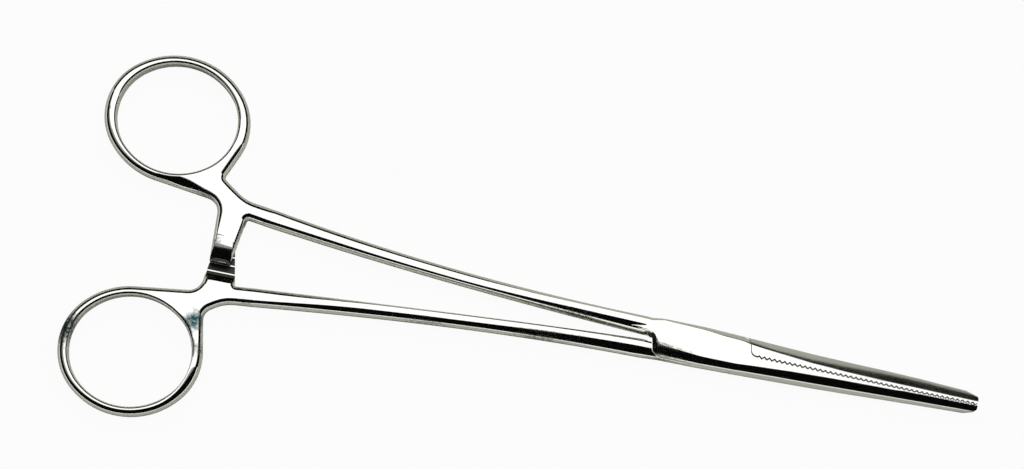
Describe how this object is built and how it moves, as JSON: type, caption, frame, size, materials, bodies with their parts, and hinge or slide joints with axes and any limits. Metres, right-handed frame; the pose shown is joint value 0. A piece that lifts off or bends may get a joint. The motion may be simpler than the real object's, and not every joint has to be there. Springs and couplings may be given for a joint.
{
  "type": "hemostat forceps",
  "caption": "Straight polished steel locking forceps with two finger rings, a ratchet catch, a box lock and fully serrated jaws.",
  "frame": {"origin": "centre of the pivot pin on the lower face of the box lock", "axes": "+X along the shut jaws toward their tips, +Y toward the slotted arm's finger ring, +Z along the pivot pin, up out of the upper face"},
  "size_m": [0.1999, 0.0808, 0.0055],
  "materials": {
    "polished_steel": "mirror-polished stainless steel"
  },
  "bodies": {
    "slotted_arm": {"box_arm": "polished_steel", "lock_pin": "polished_steel"},
    "inner_arm": {"tongue_arm": "polished_steel"}
  },
  "joints": [
    {"name": "box_lock", "type": "hinge", "parent": "slotted_arm", "child": "inner_arm", "pos_m": [0, 0, 0.00275], "axis": [0, 0, 1], "range_deg": [0, 55]}
  ]
}
